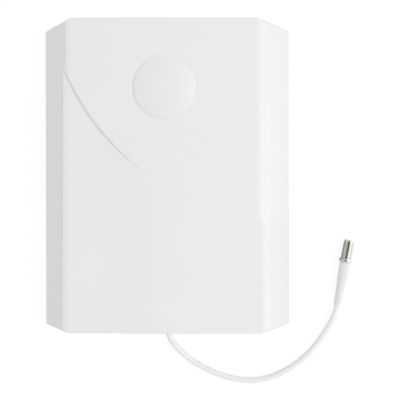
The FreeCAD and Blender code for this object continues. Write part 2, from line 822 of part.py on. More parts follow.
def jack_body():
    """Collar, plain cylinder under the thread, and the short lead at the mouth."""
    thread_end = collar_length + thread_length
    mouth = thread_end + lead_length
    profile = [(0, 0),
               (0, collar_radius - jack_chamfer),
               (jack_chamfer, collar_radius),
               (collar_length - jack_chamfer, collar_radius),
               (collar_length, collar_radius - jack_chamfer),
               (collar_length, thread_radius),
               (thread_end, thread_radius),
               (thread_end, lead_radius),
               (mouth - jack_chamfer, lead_radius),
               (mouth, lead_radius - jack_chamfer),
               (mouth, jack_bore_radius),
               (jack_back_wall, jack_bore_radius),
               (jack_back_wall, 0)]
    return on_jack_axis(profile)


jack_mouth = collar_length + thread_length + lead_length
insulator_front = jack_mouth - insulator_recess


def jack_insulator():
    back = jack_back_wall
    lip = insulator_front - insulator_lip
    profile = [(back, contact_radius + cable_gap),
               (back, jack_bore_radius - fit_gap),
               (insulator_front, jack_bore_radius - fit_gap),
               (insulator_front, contact_bore_radius + cable_gap),
               (lip, contact_bore_radius + cable_gap),
               (lip, contact_radius + cable_gap)]
    return on_jack_axis(profile)


def jack_contact():
    back = jack_back_wall
    front = insulator_front - insulator_lip - fit_gap
    profile = [(back, 0),
               (back, contact_radius),
               (front, contact_radius),
               (front, contact_bore_radius),
               (back + contact_web, contact_bore_radius),
               (back + contact_web, 0)]
    return on_jack_axis(profile)


def crimp_ferrule():
    bore = cable_radius + cable_gap
    return on_jack_axis([(-ferrule_length, bore), (-ferrule_length, ferrule_radius),
                         (0, ferrule_radius), (0, bore)])


def boot_cable():
    return on_jack_axis([(-boot_length, 0), (-boot_length, cable_radius), (0, cable_radius), (0, 0)])


base_top = cable_exit_z - clamp_split / 2
cap_bottom = cable_exit_z + clamp_split / 2
cap_top = cable_exit_z + clamp_cap_height
pieces = {
    "radome_shell": radome_shell(),
    "badge_disc": badge_disc(),
    "rim_gasket": rim_gasket(),
    "rear_reflector_plate": rear_plate(),
    "bracket_clinch_nuts": clinch_nuts(),
    "threaded_inserts": threaded_inserts(),
    "rear_cover_screws": [sunk_screw(place, cover_screw_length) for place in boss_places],
    "element_standoffs": standoffs(loop_support_places, standoff_across_flats, loop_z),
    "board_standoffs": standoffs(board_support_places, standoff_across_flats, board_z),
    "standoff_screws": [sunk_screw(place, standoff_screw_length)
                        for place in loop_support_places + board_support_places],
    "loop_element": loop_element(),
    "element_screws": [pan_screw(place, loop_top, screw_radius, loop_screw_length)
                       for place in loop_support_places],
    "balun_board": balun_board(),
    "board_screws": [pan_screw(place, board_top, screw_radius, loop_screw_length)
                     for place in board_support_places],
    "feed_posts": feed_posts(),
    "feed_screws": feed_screws(),
    "balun_core": balun_core(),
    "balun_winding": balun_winding(),
    "signal_tag": signal_tag(),
    "braid_clip": braid_clip(),
    "inner_coax_jacket": cable_along(inner_route, "inner coax"),
    "inner_coax_braid": coax_end(jacket_end_y, braid_end_y, braid_radius),
    "inner_coax_dielectric": coax_end(braid_end_y, dielectric_end_y, dielectric_radius),
    "inner_coax_conductor": coax_end(dielectric_end_y, conductor_end_y, conductor_radius),
    "cable_clamp_base": clamp_half(plate_top, base_top, screw_hole_radius, False),
    "cable_clamp_cap": clamp_half(cap_bottom, cap_top, screw_bore_radius, True),
    "clamp_screws": [sunk_screw(place, clamp_screw_length) for place in clamp_places],
    "cable_grommet": cable_grommet(),
    "coax_cord": cable_along(cord_route, "coax cord"),
    "connector_boot": connector_boot(),
    "coax_boot_stretch": boot_cable(),
    "crimp_ferrule": crimp_ferrule(),
    "jack_body": jack_body(),
    "jack_insulator": jack_insulator(),
    "jack_contact": jack_contact(),
}

os.makedirs("parts", exist_ok=True)
for name, shape in pieces.items():
    solids = shape if isinstance(shape, list) else [shape]
    solids = [solid for group in solids for solid in group.Solids]
    result = solids[0] if len(solids) == 1 else Part.makeCompound(solids)
    valid = all(solid.isValid() and solid.Volume > 0 for solid in solids)
    print(name, "solids", len(solids), "valid", valid, "volume", round(result.Volume, 1))
    result.exportStep(os.path.join("parts", name + ".step"))
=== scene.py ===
import bmesh
import bpy
import math
from mathutils import Matrix, Vector


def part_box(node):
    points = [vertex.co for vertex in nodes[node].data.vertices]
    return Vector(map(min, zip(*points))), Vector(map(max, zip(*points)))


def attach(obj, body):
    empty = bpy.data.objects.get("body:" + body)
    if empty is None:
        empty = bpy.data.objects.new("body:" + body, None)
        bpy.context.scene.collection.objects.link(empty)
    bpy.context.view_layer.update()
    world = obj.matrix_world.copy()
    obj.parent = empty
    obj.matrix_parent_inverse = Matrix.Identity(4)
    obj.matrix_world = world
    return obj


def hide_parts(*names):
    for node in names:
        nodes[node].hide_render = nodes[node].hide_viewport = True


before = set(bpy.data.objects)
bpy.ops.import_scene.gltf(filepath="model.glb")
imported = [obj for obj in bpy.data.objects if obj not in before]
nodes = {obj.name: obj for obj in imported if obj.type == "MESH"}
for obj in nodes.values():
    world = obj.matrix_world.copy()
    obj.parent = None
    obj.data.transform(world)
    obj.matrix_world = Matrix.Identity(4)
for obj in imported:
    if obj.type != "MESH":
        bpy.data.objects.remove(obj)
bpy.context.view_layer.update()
bpy.ops.object.select_all(action="DESELECT")
mm = 0.001


# Radome shell. One injection moulding in white ABS: a tub whose sides are drawn in towards the front,
# with a swoosh-shaped step across it. The mould leaves a fine satin grain, faint flow clouding and
# small radii on every outer edge.
def linear(hex_colour):
    """Linear RGBA of an sRGB hex colour."""
    channels = [int(hex_colour[place:place + 2], 16) / 255 for place in (1, 3, 5)]
    return [c / 12.92 if c <= 0.04045 else ((c + 0.055) / 1.055) ** 2.4 for c in channels] + [1.0]


def add_node(owner, kind, inputs=(), **settings):
    """Adds a shader node. An input is a plain value, or (node, output) for a link."""
    node = owner.node_tree.nodes.new("ShaderNode" + kind)
    for name, value in settings.items():
        setattr(node, name, value)
    for socket, value in dict(inputs).items():
        if isinstance(value, tuple) and isinstance(value[0], bpy.types.Node):
            owner.node_tree.links.new(value[0].outputs[value[1]], node.inputs[socket])
        else:
            node.inputs[socket].default_value = value
    return node


def mottled(name, dark, light, cloud, grain, gloss, depth=0.0, stretch=(1, 1, 1), metallic=0.0, ior=None,
            glow_through=0.0):
    """A finish whose tone drifts over cloud mm, and whose sheen and relief vary over grain mm. Light
    goes glow_through mm into it."""
    material = bpy.data.materials.new(name)
    material.use_nodes = True
    shader = material.node_tree.nodes["Principled BSDF"]
    shader.inputs["Metallic"].default_value = metallic
    if ior:
        shader.inputs["IOR"].default_value = ior
    if glow_through:
        shader.inputs["Subsurface Weight"].default_value = 0.6
        shader.inputs["Subsurface Radius"].default_value = (1, 1, 1)
        shader.inputs["Subsurface Scale"].default_value = glow_through * mm
    place = add_node(material, "TexCoord")
    drawn = add_node(material, "Mapping", {"Vector": (place, "Object"), "Scale": stretch})
    clouds = add_node(material, "TexNoise", {"Vector": (drawn, 0), "Scale": 1 / (cloud * mm), "Detail": 3.0})
    tint = add_node(material, "Mix", {0: (clouds, 0), 6: linear(dark), 7: linear(light)}, data_type="RGBA")
    grains = add_node(material, "TexNoise", {"Vector": (drawn, 0), "Scale": 1 / (grain * mm), "Detail": 2.0})
    sheen = add_node(material, "MapRange", {"Value": (grains, 0), "To Min": gloss[0], "To Max": gloss[1]})
    links = material.node_tree.links
    links.new(tint.outputs[2], shader.inputs["Base Color"])
    links.new(sheen.outputs[0], shader.inputs["Roughness"])
    if depth:
        relief = add_node(material, "Bump", {"Height": (grains, 0), "Strength": 0.5, "Distance": depth * mm})
        links.new(relief.outputs[0], shader.inputs["Normal"])
    return material


def placed(name, data):
    """A new object in the scene, at the origin."""
    thing = bpy.data.objects.new(name, data)
    bpy.context.scene.collection.objects.link(thing)
    return thing


def pick(piece):
    """Makes a piece the only selected one and the active one."""
    bpy.ops.object.select_all(action="DESELECT")
    piece.select_set(True)
    bpy.context.view_layer.objects.active = piece


def merged_copy(node_name, piece_name):
    """A CAD node's mesh as a new piece, with its loose triangles merged and its flat faces whole."""
    piece = placed(piece_name, nodes[node_name].data.copy())
    pick(piece)
    bpy.ops.object.mode_set(mode="EDIT")
    bpy.ops.mesh.customdata_custom_splitnormals_clear()
    bpy.ops.mesh.select_all(action="SELECT")
    bpy.ops.mesh.remove_doubles(threshold=merge_gap)
    bpy.ops.mesh.dissolve_limited(angle_limit=flat_angle)
    bpy.ops.object.mode_set(mode="OBJECT")
    return piece


def round_edges(piece, share, width, segments):
    """Bevels each edge of a piece by width times share(edge), where that is above zero."""
    work = bmesh.new()
    work.from_mesh(piece.data)
    weights = work.edges.layers.float.new("bevel_weight_edge")
    for edge in work.edges:
        edge[weights] = share(edge) if len(edge.link_faces) == 2 else 0.0
    work.to_mesh(piece.data)
    work.free()
    bevel = piece.modifiers.new("rounding", "BEVEL")
    bevel.limit_method = "WEIGHT"
    bevel.width = width
    bevel.segments = segments
    bevel.use_clamp_overlap = False
    bpy.context.view_layer.objects.active = piece
    bpy.ops.object.modifier_apply(modifier=bevel.name)
    piece.data.attributes.remove(piece.data.attributes["bevel_weight_edge"])


def shade(piece, crease_degrees):
    """Smooth shading that keeps sharp creases, with normals that follow the large faces."""
    pick(piece)
    bpy.ops.object.shade_smooth_by_angle(angle=math.radians(crease_degrees))
    weighted = piece.modifiers.new("weighted", "WEIGHTED_NORMAL")
    weighted.keep_sharp = True
    bpy.ops.object.modifier_apply(modifier=weighted.name)
    piece.select_set(False)


def dress(piece, material):
    """Gives a new piece its only material and its body."""
    piece.data.materials.clear()
    piece.data.materials.append(material)
    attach(piece, "root")


merge_gap = 0.002 * mm
flat_angle = math.radians(0.3)
rim_height = 10 * mm
outer_radius = 0.6 * mm
step_radius = 0.5 * mm
radius_segments = 4
step_height = 2.6 * mm
wall_lean = 0.2
wall_rise = 0.8
front_rise = 0.85
fade_start_x = -56 * mm
fade_end_x = -8 * mm
fade_depth = 0.95
least_share = 0.06
outlet_reach = 8 * mm
side_slack = 0.1 * mm
rest_slack = 0.05 * mm
crease = math.radians(22)
radome_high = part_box("radome_shell")[1]

radome = merged_copy("radome_shell", "radome")


def outer_crease(edge):
    """1 for the moulding's outer edges: its rim, its knee, its corners and its ends' borders."""
    middle = (edge.verts[0].co + edge.verts[1].co) / 2
    out_x = radome_high.x - abs(middle.x)
    out_y = radome_high.y - abs(middle.y)
    on_end = out_y < side_slack
    at_knee = out_x < side_slack and middle.z > rim_height / 2
    on_rim = middle.z < rest_slack and min(out_x, out_y) < side_slack
    at_outlet = on_end and middle.y < 0 and abs(middle.x) < outlet_reach and 0 < middle.z < 2 * rim_height
    return float((on_end or at_knee or on_rim) and not at_outlet and edge.calc_face_angle() > crease)


def step_border(edge):
    """The step's height, as a share of its full height, for the edges along its crest and its foot. Its
    wall is where a face leans left and down by wall_lean or more and rises by less than wall_rise."""
    middle = (edge.verts[0].co + edge.verts[1].co) / 2
    low_face, high_face = sorted(edge.link_faces, key=lambda face: face.normal.z)
    wall = low_face.normal
    falls = wall.x < -wall_lean and wall.y < -wall_lean and wall.z < wall_rise
    near_front = middle.z > radome_high.z - 2 * step_height and high_face.normal.z > front_rise
    faded = min(1.0, max(0.0, (middle.x - fade_start_x) / (fade_end_x - fade_start_x)))
    height_share = 1 - fade_depth * (3 * faded ** 2 - 2 * faded ** 3)
    return height_share if falls and near_front and height_share > least_share else 0.0


round_edges(radome, step_border, step_radius, radius_segments)
round_edges(radome, outer_crease, outer_radius, radius_segments)
shade(radome, crease_degrees=35)

# The mould's spark-eroded grain is drawn 0.7 mm wide, coarser than it is, so that it just shows.
satin_abs = mottled("satin_moulded_abs", "#ECECEC", "#EFEFEF", 45, 0.7, (0.42, 0.52), depth=0.02, ior=1.53)
dress(radome, satin_abs)
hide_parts("radome_shell")


# Badge. A round domed disc moulded in the same white, a little glossier than the housing, pressed into
# its shallow seat. Its face is smooth, and its foot fills the seat a little wider than the face.
def turn(name, profile, base, axis, sides=96):
    """A turned piece: a ring is extruded and resized through (distance along the axis, radius)."""
    heading = Vector(axis).normalized()
    start, radius = profile[0]
    bpy.ops.object.select_all(action="DESELECT")
    bpy.ops.mesh.primitive_circle_add(vertices=sides, radius=radius, location=Vector(base) + heading * start,
                                      rotation=heading.to_track_quat("Z", "Y").to_euler())
    piece = bpy.context.active_object
    piece.name = name
    bpy.ops.object.transform_apply(location=True, rotation=True, scale=True)
    bpy.ops.object.mode_set(mode="EDIT")
    bpy.ops.mesh.select_all(action="SELECT")
    for (before, radius_before), (along, radius) in zip(profile, profile[1:]):
        bpy.ops.mesh.extrude_edges_move(TRANSFORM_OT_translate={"value": heading * (along - before)})
        factor = radius / radius_before
        bpy.ops.transform.resize(value=(factor, factor, factor),
                                 center_override=Vector(base) + heading * along)
    bpy.ops.mesh.select_all(action="SELECT")
    bpy.ops.mesh.remove_doubles(threshold=weld_gap)
    bpy.ops.mesh.select_all(action="DESELECT")
    bpy.ops.mesh.select_non_manifold()
    bpy.ops.mesh.fill_holes(sides=0)
    bpy.ops.mesh.select_all(action="SELECT")
    bpy.ops.mesh.normals_make_consistent(inside=False)
    bpy.ops.object.mode_set(mode="OBJECT")
    return piece


weld_gap = 0.001 * mm
badge_low, badge_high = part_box("badge_disc")
badge_radius = (badge_high.x - badge_low.x) / 2
badge_centre = Vector((0, (badge_low.y + badge_high.y) / 2, 0))
badge_flat_radius = 8 * mm
badge_dome_radius = 70 * mm
badge_edge = 0.35 * mm
badge_edge_turn = math.radians(76)
badge_edge_steps = 5
badge_rings = 14
foot_reach = 0.1 * mm
foot_depth = 0.03 * mm
foot_radius = badge_radius + foot_reach
foot_top = radome_high.z - foot_depth


def badge_height(radius):
    """Height of the dome's surface at a distance from its centre."""
    out = max(0.0, radius - badge_flat_radius)
    return badge_high.z - (badge_dome_radius - math.sqrt(badge_dome_radius ** 2 - out ** 2))


rim_z = badge_height(badge_radius) - badge_edge
badge_profile = [(badge_low.z, foot_radius), (foot_top, foot_radius), (foot_top, badge_radius),
                 (rim_z, badge_radius)]
for step in range(1, badge_edge_steps + 1):
    angle = badge_edge_turn * step / badge_edge_steps
    badge_profile.append((rim_z + badge_edge * math.sin(angle),
                          badge_radius - badge_edge * (1 - math.cos(angle))))
for step in range(1, badge_rings + 1):
    radius = badge_radius - badge_edge - (badge_radius - badge_edge - badge_flat_radius) * step / badge_rings
    badge_profile.append((badge_height(radius), radius))
badge = turn("badge", badge_profile, badge_centre, (0, 0, 1), sides=128)
shade(badge, crease_degrees=40)
glossy_abs = mottled("semi_gloss_abs", "#EBEBEB", "#EEEEEE", 16, 1.1, (0.38, 0.46), ior=1.53)
dress(badge, glossy_abs)
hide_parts("badge_disc")


# Threaded inserts. Ten brass sleeves pressed warm into the bosses behind the housing's rim. Turning
# leaves bright rings too fine to see, so the brass shows only a slight change of sheen.
def finish(node_names, material):
    """Gives CAD nodes a material."""
    for name in node_names:
        nodes[name].data.materials[0] = material


turned_brass = mottled("turned_brass", "#C7A253", "#D3B163", 3, 0.2, (0.24, 0.36), depth=0.01, metallic=1.0)
finish(["threaded_inserts"], turned_brass)


# Back plate. Mill-finish aluminium sheet, 2 mm thick, punched and countersunk. The rolls leave long
# streaks along it, which soften what it reflects. It closes the back and stands behind the loop.
rolled_aluminium = mottled("mill_finish_aluminium", "#C3C6C9", "#D2D4D6", 14, 0.5, (0.3, 0.44), depth=0.01,
                           stretch=(1, 0.03, 1), metallic=1.0)
finish(["rear_reflector_plate"], rolled_aluminium)


# Clinch nuts. Four steel nuts pressed into the plate, with an M4 thread for a bracket. Bright zinc
# plating gives them a cool silver with faint cloudy blooms.
def solid_centres(node_name):
    """Centres of the separate solids of a CAD node, in order of their place to 0.1 mm."""
    work = bmesh.new()
    work.from_mesh(nodes[node_name].data)
    bmesh.ops.remove_doubles(work, verts=work.verts, dist=merge_gap)
    waiting = set(work.verts)
    centres = []
    while waiting:
        front = [waiting.pop()]
        low, high = front[0].co.copy(), front[0].co.copy()
        while front:
            vert = front.pop()
            low = Vector(map(min, low, vert.co))
            high = Vector(map(max, high, vert.co))
            near = {edge.other_vert(vert) for edge in vert.link_edges} & waiting
            waiting -= near
            front.extend(near)
        centres.append((low + high) / 2)
    work.free()
    return sorted(centres, key=lambda centre: (round(centre.y, 4), round(centre.x, 4)))


def helix(name, root, crest, pitch, low, high, steps):
    """A screw thread about Z from low to high, closed at both ends. It starts lead_in turns early, which
    keeps its corners off the planes that end it. Its crest is an eighth of the pitch wide."""
    start = low - lead_in * pitch
    turns = math.ceil((high - start) / pitch) + 1
    flat = pitch / 8
    heights = [0, flat, pitch / 2 - flat / 2, pitch / 2 + flat / 2, pitch - flat, pitch]
    radii = [root, root, crest, crest, root, root]
    strip = bpy.data.meshes.new(name)
    strip.from_pydata([(radius, 0, start + up) for up, radius in zip(heights, radii)],
                      [(place, place + 1) for place in range(len(radii) - 1)], [])
    piece = placed(name, strip)
    pick(piece)
    screw = piece.modifiers.new("thread", "SCREW")
    screw.axis = "Z"
    screw.screw_offset = pitch
    screw.iterations = turns
    screw.steps = steps
    screw.render_steps = steps
    bpy.ops.object.modifier_apply(modifier=screw.name)
    bpy.ops.object.mode_set(mode="EDIT")
    bpy.ops.mesh.select_all(action="SELECT")
    bpy.ops.mesh.remove_doubles(threshold=weld_gap)
    for end, height in ((-1, low), (1, high)):
        bpy.ops.mesh.select_all(action="SELECT")
        bpy.ops.mesh.bisect(plane_co=(0, 0, height), plane_no=(0, 0, end), clear_outer=True, use_fill=True,
                            threshold=cut_gap)
    bpy.ops.mesh.select_all(action="SELECT")
    bpy.ops.mesh.normals_make_consistent(inside=False)
    bpy.ops.object.mode_set(mode="OBJECT")
    return piece


def joined(name, pieces):
    """Makes one piece of several."""
    bpy.ops.object.select_all(action="DESELECT")
    for piece in pieces:
        piece.select_set(True)
    bpy.context.view_layer.objects.active = pieces[0]
    bpy.ops.object.join()
    pieces[0].name = name
    pieces[0].select_set(False)
    return pieces[0]


def copied_to(name, model, places):
    """One piece of copies of a model, each moved by a place. The model itself goes."""
    copies = []
    for place in places:
        copy = placed(name, model.data.copy())
        copy.data.transform(Matrix.Translation(place))
        copies.append(copy)
    bpy.data.objects.remove(model)
    return joined(name, copies)


def cut_away(piece, cutter):
    """Cuts one piece out of another. The cutter goes."""
    cut = piece.modifiers.new("cut", "BOOLEAN")
    cut.object = cutter
    cut.operation = "DIFFERENCE"
    cut.solver = "EXACT"
    bpy.context.view_layer.objects.active = piece
    bpy.ops.object.modifier_apply(modifier=cut.name)
    bpy.data.objects.remove(cutter)


lead_in = 1.137
cut_gap = 0.0001 * mm
nut_crest = 2.0 * mm
nut_root = 1.66 * mm
nut_pitch = 0.7 * mm
nut_shank_radius = 2.95 * mm
nut_head_radius = 4.1 * mm
nut_head_height = 3.0 * mm
nut_chamfer = 0.3 * mm
nut_low, nut_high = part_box("bracket_clinch_nuts")
nut_length = nut_high.z - nut_low.z
nut_shoulder = nut_length - nut_head_height

nut = turn("clinch_nut", [(0, nut_shank_radius - nut_chamfer), (nut_chamfer, nut_shank_radius),
                          (nut_shoulder, nut_shank_radius), (nut_shoulder, nut_head_radius),
                          (nut_length - nut_chamfer, nut_head_radius),
                          (nut_length, nut_head_radius - nut_chamfer)], (0, 0, 0), (0, 0, 1), sides=48)
cut_away(nut, helix("tap", nut_root, nut_crest, nut_pitch, -nut_pitch, nut_length + nut_pitch, steps=32))
shade(nut, crease_degrees=30)
nuts = copied_to("tapped_clinch_nuts", nut,
                 [(centre.x, centre.y, nut_low.z) for centre in solid_centres("bracket_clinch_nuts")])
bright_zinc = mottled("bright_zinc_plate", "#B9BEC2", "#CCD0D3", 2.5, 0.3, (0.22, 0.36), depth=0.005,
                      metallic=1.0)
dress(nuts, bright_zinc)
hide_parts("bracket_clinch_nuts")


# Loop and standoffs. The stamped aluminium loop stands on four nylon posts in front of the
# plate. Natural nylon is a creamy, slightly translucent white, smooth from the mould.
natural_nylon = mottled("natural_nylon", "#E2DED0", "#EAE7DB", 6, 0.8, (0.35, 0.45), ior=1.53)
finish(["element_standoffs", "board_standoffs"], natural_nylon)
finish(["loop_element"], rolled_aluminium)


# Feed board. Glass laminate under a glossy green solder mask, between brass posts. It carries the
# ferrite core of the matching transformer with its turns of enamelled wire.
solder_mask = mottled("green_solder_mask", "#1E4A2B", "#2A5C38", 5, 0.4, (0.2, 0.3), depth=0.02, ior=1.5)
sintered_ferrite = mottled("sintered_ferrite", "#232325", "#343436", 1.5, 0.25, (0.5, 0.65), depth=0.02,
                           ior=1.6)
enamelled_copper = mottled("enamelled_copper", "#A85A2C", "#B96A38", 2, 0.3, (0.2, 0.3), metallic=1.0)
finish(["balun_board"], solder_mask)
finish(["balun_core"], sintered_ferrite)
finish(["balun_winding", "inner_coax_conductor"], enamelled_copper)
finish(["feed_posts", "signal_tag"], turned_brass)
tinned_copper = mottled("tinned_copper_braid", "#A9A9A6", "#C4C4C0", 1.2, 0.25, (0.3, 0.5), depth=0.05,
                        metallic=1.0)
finish(["inner_coax_braid", "braid_clip"], tinned_copper)


# Pan-head screws. Slotted nylon screws hold the loop and the board on their standoffs, so that no metal
# disturbs the loop, and brass ones join the feed posts to the loop and the board.
screw_crest = 1.4 * mm
screw_root = 1.12 * mm
screw_pitch = 0.5 * mm
feed_screw_share = 1.2 / 1.4
pan_head_radius = 2.8 * mm
pan_head_height = 1.8 * mm
pan_rounding = 0.45 * mm
pan_edge = 0.1 * mm
slot_width = 0.7 * mm
slot_depth = 0.9 * mm
nylon_screw_length = 8 * mm
feed_screw_length = 5 * mm


def block(centre, size, turned_by=0.0):
    """A box about a centre, turned about Z, to cut with."""
    bpy.ops.object.select_all(action="DESELECT")
    bpy.ops.mesh.primitive_cube_add(size=1, location=centre, rotation=(0, 0, turned_by), scale=size)
    bpy.ops.object.transform_apply(location=True, rotation=True, scale=True)
    return bpy.context.active_object


def pan_screw(length, size_share):
    """A slotted screw, its head's seat at the origin and its shank down. Its thread is size_share times
    the size above, and its head is the same for all."""
    soft_edge = pan_rounding * (1 - math.sqrt(0.5))
    head = turn("pan_head", [(0, pan_head_radius - pan_edge), (pan_edge, pan_head_radius),
                             (pan_head_height - pan_rounding, pan_head_radius),
                             (pan_head_height - soft_edge, pan_head_radius - soft_edge),
                             (pan_head_height, pan_head_radius - pan_rounding)],
                (0, 0, 0), (0, 0, 1), sides=40)
    cut_away(head, block((0, 0, pan_head_height), (3 * pan_head_radius, slot_width, 2 * slot_depth)))
    shank = helix("pan_shank", screw_root * size_share, screw_crest * size_share, screw_pitch * size_share,
                  -length, pan_edge / 2, steps=20)
    screw = joined("pan_screw", [head, shank])
    shade(screw, crease_degrees=30)
    return screw


pan_screws = [("element_screws", nylon_screw_length, 1, natural_nylon, "nylon"),
              ("board_screws", nylon_screw_length, 1, natural_nylon, "nylon"),
              ("feed_screws", feed_screw_length, feed_screw_share, turned_brass, "brass")]
for screw_node, shank_length, size_share, material, slot_name in pan_screws:
    node_low, node_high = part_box(screw_node)
    middle = (node_low.z + node_high.z) / 2
    centres = solid_centres(screw_node)
    model = pan_screw(shank_length, size_share)
    hanging = [centre for centre in centres if centre.z < middle - pan_head_height]
    standing = [centre for centre in centres if centre not in hanging]
    upper_seat = node_high.z - pan_head_height
    lower_seat = node_low.z + pan_head_height
    piece_name = "slotted_" + screw_node
    if hanging:
        turned_over = placed("turned_over", model.data.copy())
        turned_over.data.transform(Matrix.Rotation(math.pi, 4, "X"))
        below = copied_to("hanging", turned_over, [(centre.x, centre.y, lower_seat) for centre in hanging])
    screws = copied_to(piece_name, model, [(centre.x, centre.y, upper_seat) for centre in standing])
    if hanging:
        screws = joined(piece_name, [screws, below])
    dress(screws, material)
    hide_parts(screw_node)


# Inner cable and its clamp. The coax is stripped in steps at the board: jacket, braid, white foamed
# polyethylene and bare wire. A two-part nylon clamp behind the outlet takes any pull.
foamed_pe = mottled("foamed_polyethylene", "#E8E6DF", "#F0EEE8", 1.5, 0.3, (0.4, 0.5), depth=0.02, ior=1.51)
extruded_pvc = mottled("extruded_white_pvc", "#EBEBEB", "#F0F0F0", 11, 1.4, (0.38, 0.5), depth=0.03, ior=1.53,
                       glow_through=2)
finish(["inner_coax_dielectric"], foamed_pe)
finish(["inner_coax_jacket", "coax_boot_stretch"], extruded_pvc)
finish(["cable_clamp_base", "cable_clamp_cap"], natural_nylon)


# Gasket. A flat ring die-cut from black EPDM sheet, squeezed between the plate and the ledge. It is
# matt, with the fine talc bloom of sheet rubber.
sheet_rubber = mottled("die_cut_epdm", "#1C1C1C", "#2B2B2A", 4, 0.35, (0.7, 0.85), depth=0.03, ior=1.52)
finish(["rim_gasket"], sheet_rubber)


# Countersunk screws. M3 machine screws in zinc-plated steel, with a cross recess. Ten hold the plate to
# the housing, six carry the standoffs and two close the cable clamp.
screw_head = 2.7 * mm
screw_land = 0.12 * mm
face_inset = 0.03 * mm
face_edge = 0.08 * mm
recess_width = 0.75 * mm
recess_reach = 1.35 * mm
recess_depth = 1.0 * mm
recess_floor_share = 0.35
facing_up = 0.5


def sunk_screw(length):
    """A countersunk screw with its face at the origin, driven up along Z."""
    neck = screw_head - screw_crest
    head = turn("screw_head", [(face_inset, screw_head - face_edge), (face_edge, screw_head),
                               (screw_land, screw_head), (neck + screw_land, screw_crest),
                               (neck + 2 * screw_land, screw_root)], (0, 0, 0), (0, 0, 1), sides=40)
    for turned_by in (0, 90):
        cutter = block((0, 0, 0), (2 * recess_reach, recess_width, 2 * recess_depth), math.radians(turned_by))
        bpy.ops.object.mode_set(mode="EDIT")
        work = bmesh.from_edit_mesh(cutter.data)
        bpy.ops.mesh.select_all(action="DESELECT")
        for face in work.faces:
            face.select_set(face.normal.z > facing_up)
        bmesh.update_edit_mesh(cutter.data)
        bpy.ops.transform.resize(value=(recess_floor_share, recess_floor_share, 1),
                                 center_override=(0, 0, recess_depth))
        bpy.ops.object.mode_set(mode="OBJECT")
        cut_away(head, cutter)
    shank = helix("screw_shank", screw_root, screw_crest, screw_pitch, neck, length, steps=20)
    screw = joined("sunk_screw", [head, shank])
    shade(screw, crease_degrees=30)
    return screw


for screw_node in ("rear_cover_screws", "standoff_screws", "clamp_screws"):
    node_low, node_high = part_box(screw_node)
    places = [(centre.x, centre.y, node_low.z) for centre in solid_centres(screw_node)]
    screws = copied_to("threaded_" + screw_node, sunk_screw(node_high.z - node_low.z), places)
    dress(screws, bright_zinc)
    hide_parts(screw_node)


# Grommet. White rubber, moulded with a groove that snaps into the outlet and a tapered nose, which
# keeps the cable from bending sharply at the wall.
white_rubber = mottled("white_epdm_rubber", "#DFDFDD", "#E6E6E4", 5, 0.5, (0.55, 0.68), depth=0.02, ior=1.52)
finish(["cable_grommet"], white_rubber)


# Free cable. A 5 mm coax with a white PVC jacket, which bends out of the housing, lies on the table in
# one wide curve and rises into the boot. It is about 0.21 m long, and the photograph shows all but its
# first 10 mm.
cable_radius = 2.5 * mm
jack_base = Vector((155.4, -73.7, 5.65)) * mm
jack_angle = math.radians(11)
jack_heading = Vector((math.sin(jack_angle), math.cos(jack_angle), 0))
boot_length = 38 * mm
boot_tail = jack_base - jack_heading * boot_length
last_run = 9 * mm
cable_bends = [(0, -126, 10), (0.3, -134, 10), (3.4, -142.4, 8.9), (10.9, -151.3, 6.6), (21.2, -160.9, 4),
               (37.7, -170.4, 2.7), (56.5, -177.2, 2.55), (76, -179.1, 2.55), (94.7, -174.7, 2.55),
               (111.7, -165.3, 2.55), (126, -152.8, 2.55), (135, -141, 2.7), (141.2, -130.4, 4)]
cable_route = [Vector(bend) * mm for bend in cable_bends] + [boot_tail - jack_heading * last_run, boot_tail]

cable_line = bpy.data.curves.new("coax_cable", "CURVE")
cable_line.dimensions = "3D"
cable_spline = cable_line.splines.new("NURBS")
cable_spline.points.add(len(cable_route) - 1)
for point, place in zip(cable_spline.points, cable_route):
    point.co = (*place, 1)
cable_spline.order_u = 3
cable_spline.use_endpoint_u = True
cable_spline.resolution_u = 16
cable_line.bevel_depth = cable_radius
cable_line.bevel_resolution = 10
cable_line.use_fill_caps = True
cable = placed("coax_cable", cable_line)
dress(cable, extruded_pvc)
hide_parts("coax_cord")


# Boot. A white polyolefin sleeve shrunk over the crimp and the end of the cable, so it is wide at the
# jack and tapers to the cable, with a soft shoulder where the ferrule ends under it.
# Its outline is in (mm from the jack's base, radius in mm).
boot_shape = [(-38, 2.62), (-38, 2.88), (-37.8, 3), (-34, 3.1), (-30, 3.22), (-26, 3.4), (-23, 3.58),
              (-20, 3.8), (-17, 4.04), (-14.4, 4.24), (-12, 4.36), (-9, 4.45), (-5, 4.53), (-1.4, 4.58),
              (-0.6, 4.55), (-0.2, 4.45), (-0.05, 4.25), (-0.05, 3.9)]
boot = turn("shrunk_boot", [(along * mm, radius * mm) for along, radius in boot_shape],
            jack_base, jack_heading)
shade(boot, crease_degrees=50)
shrunk_sleeve = mottled("shrunk_polyolefin", "#E3E3E2", "#E9E9E8", 7, 1.0, (0.4, 0.5), depth=0.05, ior=1.5,
                        glow_through=2)
dress(boot, shrunk_sleeve)
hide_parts("connector_boot")


